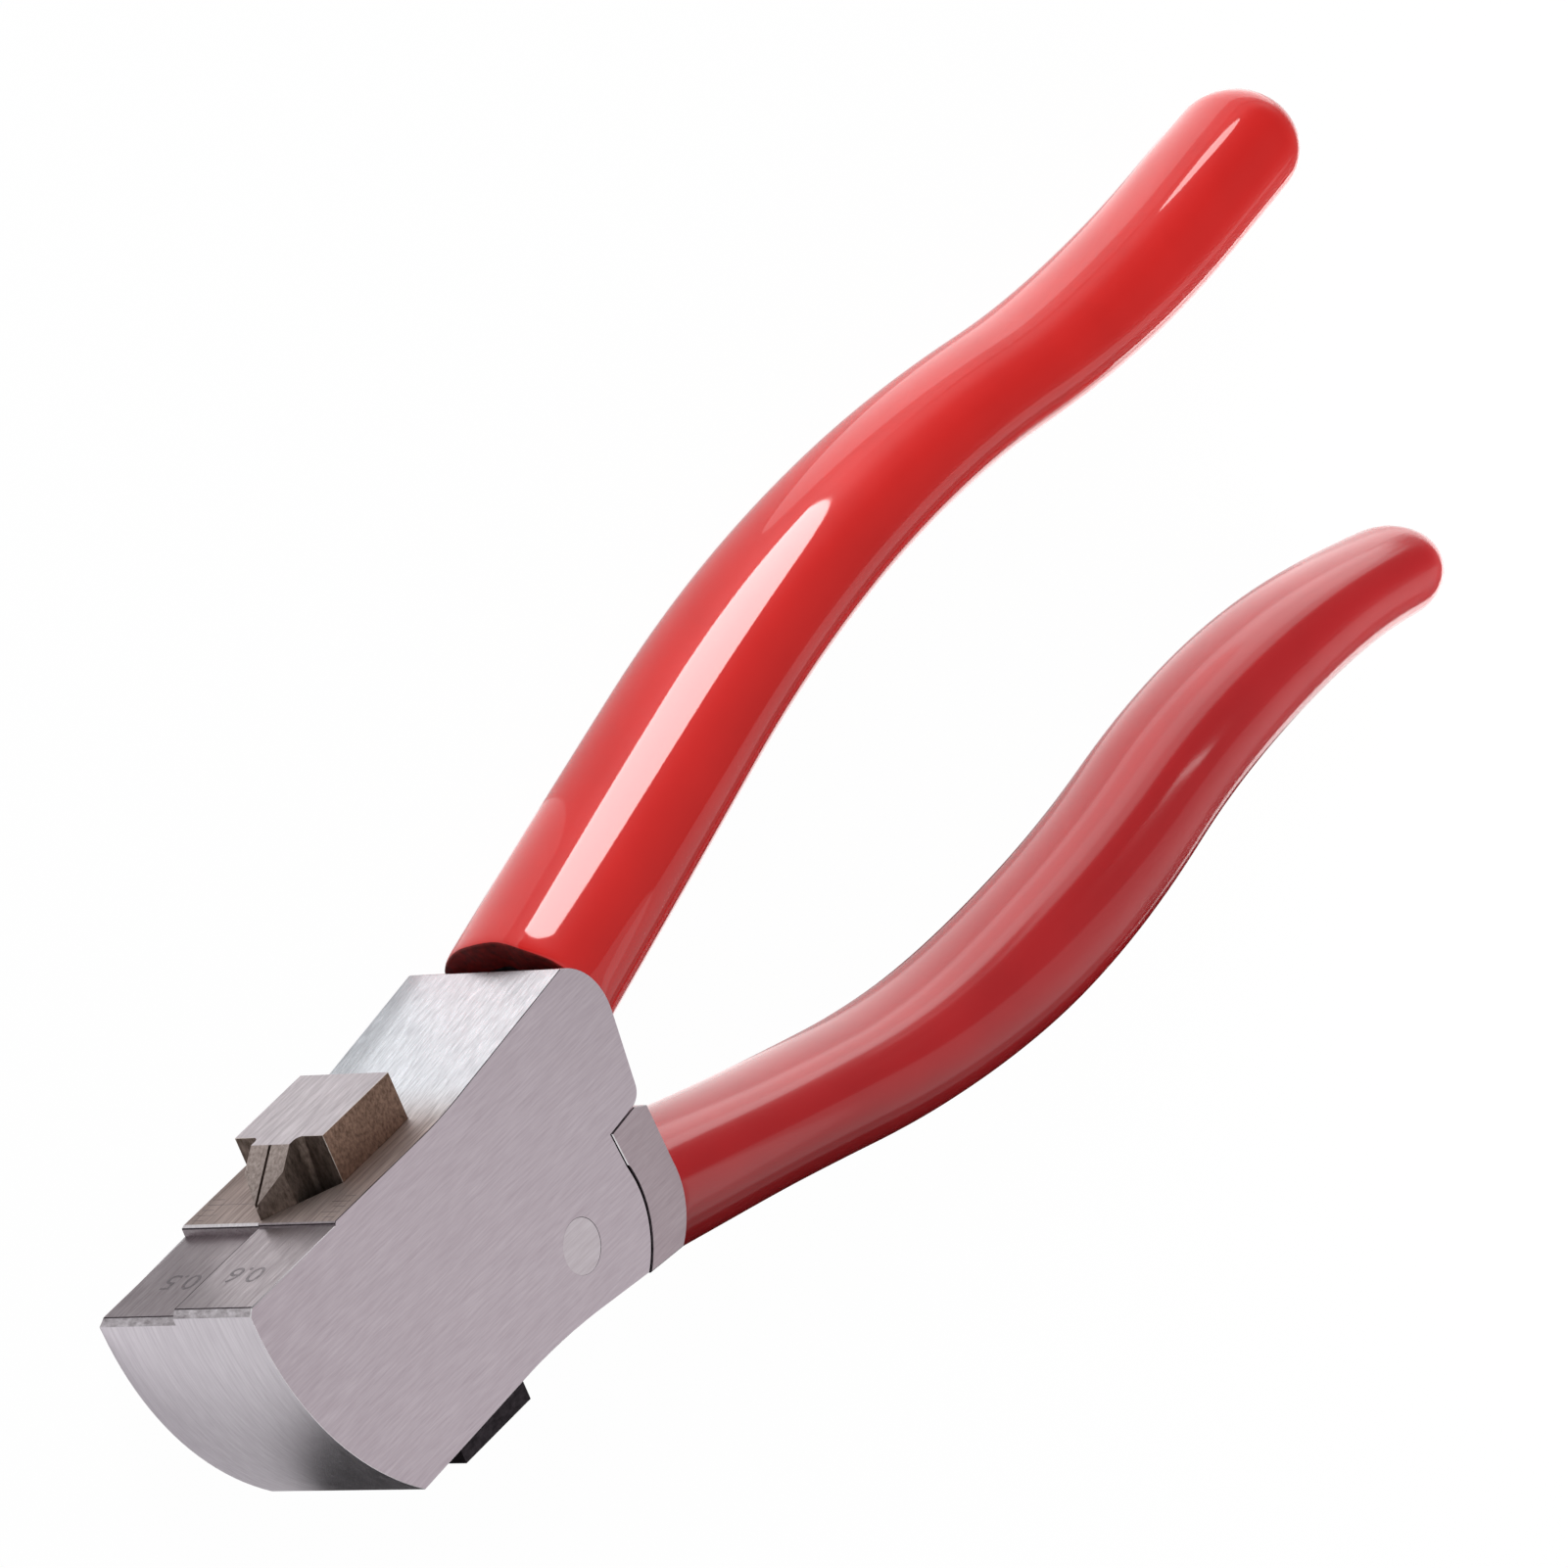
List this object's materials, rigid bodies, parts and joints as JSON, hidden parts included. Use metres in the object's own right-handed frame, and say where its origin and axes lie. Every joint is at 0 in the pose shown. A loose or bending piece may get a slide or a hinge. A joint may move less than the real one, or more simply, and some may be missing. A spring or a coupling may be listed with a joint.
{
  "type": "hand key cutter",
  "caption": "Plier-type hand key cutter: a split steel head guides a sliding toothed cutter bar over a die, driven by a pivoted lever with curved red dipped handles.",
  "frame": {"origin": "on the lever pivot axis, in the plane of the head's flat back face", "axes": "+X from the nose towards the handles, +Y out of the die face, +Z from the back face towards the front face"},
  "size_m": [0.2276, 0.0694, 0.0208],
  "materials": {
    "ground_steel": "surface ground, fine grain along the head, bright edges",
    "cutter_steel": "hardened and ground, darker with fine grinding lines",
    "pin_steel": "turned and polished",
    "handle_steel": "as forged, under the dip",
    "black_screw_steel": "black oxide",
    "bronze": "plain machined bearing bronze",
    "red_vinyl": "glossy dipped vinyl"
  },
  "bodies": {
    "head": {"front_body_half": "ground_steel", "back_body_half": "ground_steel", "bar_gib": "bronze", "locating_dowels": "pin_steel", "body_screws": "black_screw_steel", "pivot_pin": "pin_steel", "opening_stop_pin": "pin_steel", "fixed_handle_bar": "handle_steel", "tang_pins": "pin_steel", "fixed_handle_grip": "red_vinyl"},
    "lever": {"lever_block": "ground_steel", "pivot_bush": "bronze", "front_thrust_washer": "bronze", "back_thrust_washer": "bronze", "lever_handle_bar": "handle_steel", "lever_bar_pin": "pin_steel", "lever_grip": "red_vinyl"},
    "cutter": {"cutter_bar": "cutter_steel", "drive_pin": "pin_steel", "drive_roller": "pin_steel"}
  },
  "joints": [
    {"name": "lever_hinge", "type": "hinge", "parent": "head", "child": "lever", "pos_m": [0, 0, 0], "axis": [0, 0, -1], "range_deg": [0, 13.5]},
    {"name": "cutter_slide", "type": "slide", "parent": "head", "child": "cutter", "axis": [0, 1, 0], "range_m": [0, 0.00405]}
  ],
  "couplings": [
    {"joint": "cutter_slide", "follows": "lever_hinge", "m_per_rad": 0.01718}
  ]
}
